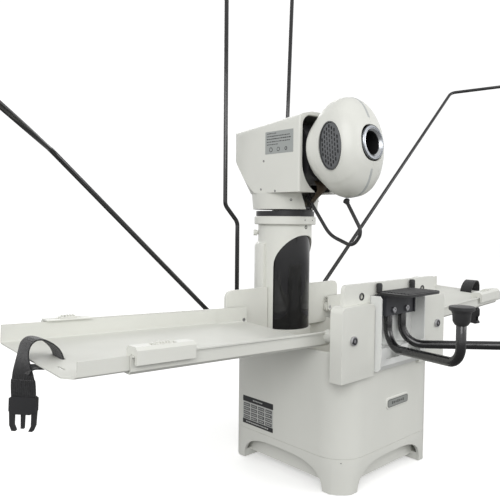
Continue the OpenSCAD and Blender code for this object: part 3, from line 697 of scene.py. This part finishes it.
def build_bars():
    rise = ARM_REACH * math.tan(math.radians(4.5))
    for side, name in ((-1, "left"), (1, "right")):
        turn = math.radians(23)

        def arm(d, z):
            return mm(side * (21.5 + d * math.sin(turn)), -140 - d * math.cos(turn), z)

        corners = [arm(0, 321.4), arm(0, ARM_HEIGHT), arm(ARM_REACH, ARM_HEIGHT + rise), arm(ARM_REACH, 308)]
        path = rounded(corners, [0.034, 0.026], 16)
        dress(sweep("arm_tube_" + name, path, ARM_RADIUS, 28), "arm_" + name, tube_black)
        foot = arm(ARM_REACH, 0) * 1000
        cap = [(7.2, 303), (8.5, 303), (9.4, 303.8), (12.2, 308.5), (13.0, 319.5), (14.2, 322.5), (17.2, 324.4),
               (18, 325.4), (18, 328.8), (17.2, 329.8), (15.6, 330), (0, 330), (0, 308), (7.2, 308)]
        dress(lathe("arm_cap_" + name, cap, foot, (0, 0, 1), 48), f"arm_{name}_cap", rubber)
        rear = [mm(side * x, y, z) for x, y, z in ((60, 207, 226), (60, 207, 445), (88, 214, 480), (96, 205, 960))]
        pole = sweep("rear_pole_" + name, rounded(rear, [0.022, 0.022], 12), POLE_RADIUS, 24)
        dress(pole, f"rear_{name}_pole", tube_black)
        out = Vector((1, 0.013, 0.907)).normalized()
        ahead = Vector((1, -1.273, 0.17)).normalized()
        first = Vector((106, 181, 224))
        corner = first + out * (496 if side < 0 else 918)
        route = [mm(side * p.x, p.y, p.z) for p in (first, corner, corner + ahead * 240)]
        pole = sweep("side_pole_" + name, rounded(route, [0.024], 14), POLE_RADIUS, 24)
        dress(pole, f"side_{name}_pole", tube_black)


def build_cable():
    corners = [mm(0, y, z) for y, z in ((66, 500), (54, 481), (8, 422), (-46, 402), (-67, 428), (-27.5, 490))]
    route = rounded(corners, [0.030, 0.060, 0.019, 0.019], 7)
    cable = sweep("head_cable", route, CABLE_RADIUS, 20, 0.1)
    cable.data.materials.append(cable_black)
    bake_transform(cable)
    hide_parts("cable")
    grommet = [(3.5, -3), (5.6, -3), (6.4, -1), (6.4, 0.2), (4.6, 2.6), (3.9, 5), (3.5, 5)]
    way = (route[-2] - route[-1]).normalized()
    extra(lathe("cable_grommet", grommet, route[-1] * 1000 + way * 5, way, 32), "head_left", rubber)


def on_wing(side, x, y, z):
    """Point of an unfolded tray, given in the tray's own directions."""
    c, s = math.cos(math.radians(2.5)), math.sin(math.radians(2.5))
    return mm(side * (128.3 + x * c - z * s), y, 259.6 + x * s + z * c)


# Outline of the webbing's cross-section, slightly crowned, in half widths and half thicknesses
STRAP_SECTION = ((-1, -1), (-1, 1), (-0.6, 1.25), (0, 1.3), (0.6, 1.25), (1, 1), (1, -1), (0.6, -0.8), (0, -0.75),
                 (-0.6, -0.8))


def ribbon(name, side, path, turns, width, thick):
    """A flat strap along a path of x and z points; turns gives how far each point is twisted about the vertical."""
    bm = bmesh.new()
    rings = []
    for i, (x, z) in enumerate(path):
        a, b = path[max(i - 1, 0)], path[min(i + 1, len(path) - 1)]
        tx, tz = b[0] - a[0], b[1] - a[1]
        size = math.hypot(tx, tz)
        nx, nz = -tz / size, tx / size
        twist = math.radians(turns[i])
        ring = []
        for across, out in STRAP_SECTION:
            w, t = across * width / 2, out * thick / 2
            ring.append(bm.verts.new(on_wing(side, x + w * math.sin(twist) + nx * t * math.cos(twist),
                                             5 + w * math.cos(twist) - nx * t * math.sin(twist), z + nz * t)))
        rings.append(ring)
    count = len(rings[0])
    for a, b in zip(rings, rings[1:]):
        for k in range(count):
            bm.faces.new((a[k], a[(k + 1) % count], b[(k + 1) % count], b[k]))
    bm.faces.new(rings[0])
    bm.faces.new(list(reversed(rings[-1])))
    obj = from_bm(name, bm)
    smooth_by_angle(obj, 50)
    return obj


def smooth_line(points, per=6):
    """Points of a smooth curve through a few corners."""
    line = []
    ends = [points[0]] + list(points) + [points[-1]]
    for p0, p1, p2, p3 in zip(ends, ends[1:], ends[2:], ends[3:]):
        for i in range(per):
            t = i / per
            line.append(tuple(0.5 * (2 * b + (c - a) * t + (2 * a - 5 * b + 4 * c - d) * t**2
                                     + (3 * b - a - 3 * c + d) * t**3) for a, b, c, d in zip(p0, p1, p2, p3)))
    return line + [tuple(points[-1])]


STRAP_OVER = [(417, -13), (417.6, -4), (423, 6), (432, 14), (443, 19.5), (453, 19.5), (460, 13), (462.5, 0),
              (462.2, -18), (461, -36), (460, -51.5)]
STRAP_UNDER = [(416.8, -13), (423, -16.3), (440, -16.6), (455, -15.6), (460.6, -22)]


def build_straps():
    for side, name in ((-1, "left"), (1, "right")):
        over = smooth_line(STRAP_OVER)
        final = 45 if side < 0 else 20
        turns = [final * ease((8 - z) / 50) if x > 455 else 0 for x, z in over]
        long = ribbon("strap_band_" + name, side, over, turns, 29.5, 1.7)
        dress(long, name + "_strap", webbing)
        under = smooth_line(STRAP_UNDER)
        low = ribbon("strap_loop_" + name, side, under, [0] * len(under), 29.5, 1.7)
        extra(low, name + "_strap", webbing)
        tuck = smooth_line([(461.5, -30), (460.8, -40), (460, -51.8)])
        twist = [final * ease((8 - z) / 50) for x, z in tuck]
        doubled = ribbon("strap_fold_" + name, side, tuck, twist, 30.3, 3.4)
        extra(doubled, name + "_strap", webbing)
        stitches = []
        for k in range(9):
            for x in (426, 431):
                stitches.append(oblong(x, -7 + 3 * k, 0.5, 1.9, 0.2, 2))
        slope = math.atan2(8, 9)
        sewn = prism("strap_stitches_" + name, stitches,
                     lambda a, b, t: tuple(on_wing(side, a - math.sin(slope) * t, b, 6 + (a - 423) * 0.889
                                                   + math.cos(slope) * t) * 1000), 0.7, 1.35)
        extra(sewn, name + "_strap", thread)
        skin(name + "_buckle", black_plastic, 0.0007, 2)


# ---------- plates, labels and screws ----------
def build_labels():
    left = lambda a, b, t: (-68 - t, a, b)
    plate = prism("rating_plate", [oblong(80.5, 599, 74, 43, 1.2)], left, -0.2, 0.35)
    extra(plate, "housing_left", label_grey)
    bars = []
    for row, (z, size) in enumerate(((616.5, 1.5), (611.2, 1.7), (606.0, 1.9), (600.6, 1.7), (595.4, 1.5))):
        y = 113.0
        while y > (88 if row in (0, 4) else 52):
            w = random.uniform(1.6, 5.2)
            bars.append(oblong(y - w / 2, z, w, size, 0.3, 2))
            y -= w + random.uniform(0.8, 1.6)
    for k, y in enumerate((102, 82, 62)):
        bars.append(disc(y, 585.5, 4.6 - 0.6 * k))
    extra(prism("rating_marks", bars, left, 0.2, 0.47), "housing_left", label_ink)
    spots = [disc(102, 585.5, 3.3), disc(82, 585.5, 2.9), oblong(62, 585.5, 3.2, 3.2, 0.6)]
    extra(prism("rating_icons", spots, left, 0.3, 0.55), "housing_left", label_grey)

    flank = lambda a, b, t: (-141 - t, a, b)
    extra(prism("spec_label", [oblong(55.5, 95, 79, 52, 1.0)], flank, -0.2, 0.3), "hopper_shell", label_pale)
    dark = [oblong(55.5, 115.8, 79, 10.4, 0.9), oblong(55.5, 73.2, 79, 8.4, 0.9)]
    extra(prism("spec_bands", dark, flank, 0.1, 0.45), "hopper_shell", label_ink)
    cells = []
    for col in range(4):
        for row in range(4):
            cells.append(oblong(84.5 - 19.2 * col, 105.0 - 7.8 * row, 16.5, 6.0, 0.5, 2))
    extra(prism("spec_cells", cells, flank, 0.15, 0.42), "hopper_shell", label_mid)
    marks = []
    for col in range(4):
        for row in range(4):
            y = 91.0 - 19.2 * col
            while y > 79.5 - 19.2 * col:
                w = random.uniform(1.2, 3.6)
                marks.append(oblong(y - w / 2, 105.0 - 7.8 * row, w, 1.6, 0.3, 2))
                y -= w + 1.0
    for z, low, high in ((115.8, 44, 68), (73.2, 30, 86)):
        y = high
        while y > low:
            w = random.uniform(1.8, 4.0)
            marks.append(oblong(y - w / 2, z, w, 2.2, 0.3, 2))
            y -= w + 1.2
    extra(prism("spec_marks", marks, flank, 0.3, 0.55), "hopper_shell", label_pale)

    face = lambda a, b, t: (a, -142.6 - t, b)
    extra(prism("front_badge", [oblong(10, 134.5, 62, 13.5, 4)], face, -0.3, 0.5), "hopper_shell", badge_grey)
    extra(prism("front_badge_rim", [oblong(10, 134.5, 62, 13.5, 4)], face, 0.3, 0.62), "hopper_shell", badge_dark)
    inlay = bpy.data.objects["front_badge_rim"]
    cut(inlay, prism("well", [oblong(10, 134.5, 60.4, 11.9, 3.3)], face, -1, 2))
    inlay.data.materials.clear()
    inlay.data.materials.append(badge_dark)
    strokes = [oblong(-7 + 5.6 * k, 134.5, 3.6, 5.0 - (k % 3), 0.8, 2) for k in range(7)]
    extra(prism("front_badge_marks", strokes, face, 0.3, 0.6), "hopper_shell", badge_dark)


def build_screws():
    for k, (y, z) in enumerate(((122, 565), (129, 510), (90, 506))):
        for side in (-1, 1):
            stud(f"housing_screw_{k}_{side + 1}", (side * 68, y, z), (side, 0, 0), 2.1, screw_dark, "housing_left")
    for k, (radius, z, angle, size) in enumerate(((67.7, 489.5, -127, 2.4), (67.7, 489.5, -53, 2.4))):
        a = math.radians(angle)
        out = (math.cos(a), math.sin(a), 0)
        stud(f"skirt_screw_{k}", (radius * out[0], 127 + radius * out[1], z), out, size, screw_dark, "housing_left")
    for k, angle in enumerate((-97.5, -76, 82, 104)):
        a = math.radians(angle)
        stud(f"collar_screw_{k}", (63 * math.cos(a), 127 + 63 * math.sin(a), 450), (math.cos(a), math.sin(a), 0), 1.3,
             screw_dark, "column_collar")
    a = math.radians(-86.6)
    # The socket is a near-black disc: painted shade for its opening
    stud("column_socket", (54.9 * math.cos(a), 127 + 54.9 * math.sin(a), 436), (math.cos(a), math.sin(a), 0), 3.8,
         painted_shade_and_print, "column_front")
    for sx in (-1, 1):
        stud(f"corner_pin_{sx + 1}", (sx * 125.1, -125.1, 54), (sx, -1, 0), 1.1, screw_dark, "base_skirt", 0.2)
        ring = [(4.0, -0.6), (6.3, -0.6), (6.3, 0.9), (5.6, 1.3), (4.6, 1.3), (4.0, 0.7)]
        extra(lathe(f"riser_eyelet_{sx + 1}", ring, (sx * 93, -136, 326), (0, -1, 0), 32), "riser_plate", screw_dark)
        cap = [(3.0, -0.4), (5.6, -0.4), (5.6, 0.5), (4.9, 0.9), (3.4, 0.9), (3.0, 0.4)]
        extra(lathe(f"hinge_ring_{sx + 1}", cap, (sx * 128.3, -151, 259.6), (0, -1, 0), 32), "wing_bolts", screw_dark)


def build_flap():
    """Folded brown insulation that shields the leads where they enter the column."""
    bm = bmesh.new()
    rows = [((-19, 36, 527), (21, 34, 524)), ((-13, 30, 515), (20, 27, 517)), ((-6, 34, 504), (10, 31, 505)),
            ((-5, 48, 492), (6, 47, 492)), ((-5, 57, 482), (6, 57, 482))]
    front, rear = [], []
    for a, b in rows:
        a, b = Vector(a), Vector(b)
        row = []
        for i in range(9):
            t = i / 8
            ripple = Vector((0, 1.2 * math.sin(7 * t + a.z), 0.8 * math.sin(5 * t)))
            row.append(bm.verts.new(mm(*(a.lerp(b, t) + ripple))))
        front.append(row)
        rear.append([bm.verts.new(v.co + Vector((0, 0.0012, 0.0004))) for v in front[-1]])
    for grid in (front, rear):
        for a, b in zip(grid, grid[1:]):
            for k in range(8):
                bm.faces.new((a[k], a[k + 1], b[k + 1], b[k]))
    for a, b in ((front[0], rear[0]), (front[-1], rear[-1])):
        for k in range(8):
            bm.faces.new((a[k], a[k + 1], b[k + 1], b[k]))
    for k in (0, 8):
        for i in range(len(rows) - 1):
            bm.faces.new((front[i][k], front[i + 1][k], rear[i + 1][k], rear[i][k]))
    obj = from_bm("lead_shield", bm)
    mod = obj.modifiers.new("round", "SUBSURF")
    mod.levels = mod.render_levels = 1
    baked(obj)
    obj.data.shade_smooth()
    obj.data.materials.append(brown_flap)
    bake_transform(obj)


def build_pan_lip():
    """Higher front part of the black turning ring."""
    bm = bmesh.new()
    rings = []
    for i in range(33):
        a = math.radians(-150 + 82 * i / 32)
        c, s = math.cos(a), math.sin(a)
        rings.append([bm.verts.new(mm(r * c, 127 + r * s, z)) for r, z in
                      ((57.5, 466), (59.9, 466), (59.9, 470.7), (59.4, 471.1), (57.5, 471.1))])
    for a, b in zip(rings, rings[1:]):
        for k in range(5):
            bm.faces.new((a[k], a[(k + 1) % 5], b[(k + 1) % 5], b[k]))
    bm.faces.new(rings[0])
    bm.faces.new(list(reversed(rings[-1])))
    obj = from_bm("pan_ring_lip", bm)
    smooth_by_angle(obj, 35)
    extra(obj, "pan_ring", black_plastic)


build_cable()
build_bars()
build_head()
build_straps()
build_labels()
build_screws()
build_flap()
build_pan_lip()
# Looks of the CAD pieces: material, and bevel width in millimetres
SKINS = {
    "base_skirt": (ivory, 1.2), "hopper_shell": (ivory, 1.0), "column_front": (ivory, 0.5),
    "column_back": (ivory, 0.7), "column_collar": (ivory, 0.6), "pan_ring": (black_plastic, 0.4),
    "column_knob": (ivory, 0.5), "front_plates": (ivory, 1.2), "riser_plate": (ivory, 1.0),
    "hook_channel": (white_steel, 0), "clamp_bracket": (grey_plastic, 0.9), "table_pad": (rubber, 0.5),
    "hook_pegs": (rubber, 0.8), "back_plates": (ivory, 1.2), "wing_bolts": (zinc, 0.5),
    "left_tray": (ivory_tray, 0), "right_tray": (ivory_tray, 0), "left_tray_end": (ivory_tray, 0),
    "right_tray_end": (ivory_tray, 0), "left_locks": (ivory, 1.2), "right_locks": (ivory, 1.2),
    "left_front_slider": (ivory, 0.4), "right_front_slider": (ivory, 0.4), "left_back_slider": (ivory, 0.4),
    "right_back_slider": (ivory, 0.4), "housing_left": (ivory, 1.2), "housing_right": (ivory, 1.2),
    "knuckle": (black_plastic, 0.6), "pole_bracket": (grey_plastic, 1.0), "rubber_feet": (rubber, 0.3),
    "clamp_screws": (zinc, 0.4)}
for node, (material, width) in SKINS.items():
    skin(node, material, width / 1000)

studio()
for name in frame["nodes"]:
    obj = frame["nodes"][name]
    obj.data.materials.clear()
    obj.data.materials.append(PLAIN[SLOT[name]])
